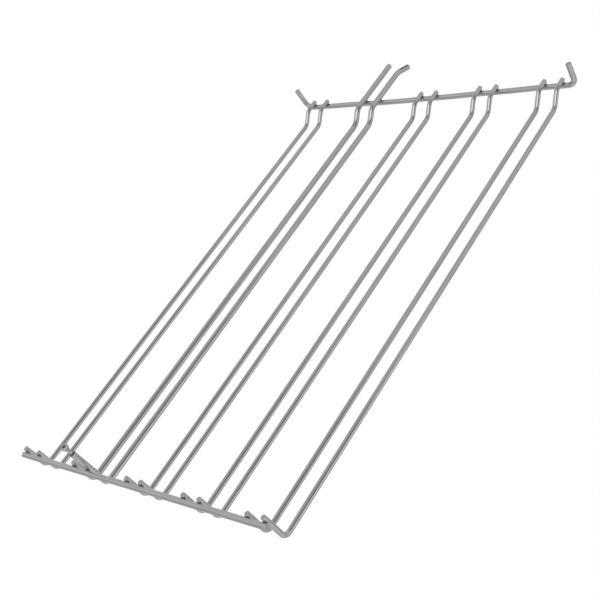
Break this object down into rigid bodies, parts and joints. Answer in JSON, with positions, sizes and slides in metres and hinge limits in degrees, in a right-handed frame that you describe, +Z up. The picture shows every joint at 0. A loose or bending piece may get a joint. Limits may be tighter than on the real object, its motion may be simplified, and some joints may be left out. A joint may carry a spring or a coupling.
{
  "type": "oven side rack",
  "caption": "Welded wire side rack for a built-in oven: paired tray runners bent at the front, joggled at the rear and joined by uprights, with a headed stud and rear rods.",
  "frame": {"origin": "middle of the round land of the front stud's head", "axes": "+X from the oven's front to its back, +Y from the side wall into the oven, +Z up"},
  "size_m": [0.4663, 0.0507, 0.2911],
  "materials": {
    "runner_wire": "bright drawn wire, satin, with faint lengthways drawing marks",
    "mount_wire": "bright drawn wire, satin, a shade darker",
    "upright_wire": "bright drawn wire, satin",
    "weld_metal": "dark scale around the resistance welds"
  },
  "bodies": {
    "root": {"runner_1_upper": "runner_wire", "runner_1_lower": "runner_wire", "runner_2_upper": "mount_wire", "runner_2_lower": "mount_wire", "runner_3_upper": "runner_wire", "runner_3_lower": "runner_wire", "runner_4_upper": "runner_wire", "runner_4_lower": "runner_wire", "runner_5_upper": "runner_wire", "runner_5_lower": "runner_wire", "front_upright": "upright_wire", "rear_upright": "upright_wire", "front_welds": "weld_metal", "rear_welds": "weld_metal"}
  },
  "joints": []
}
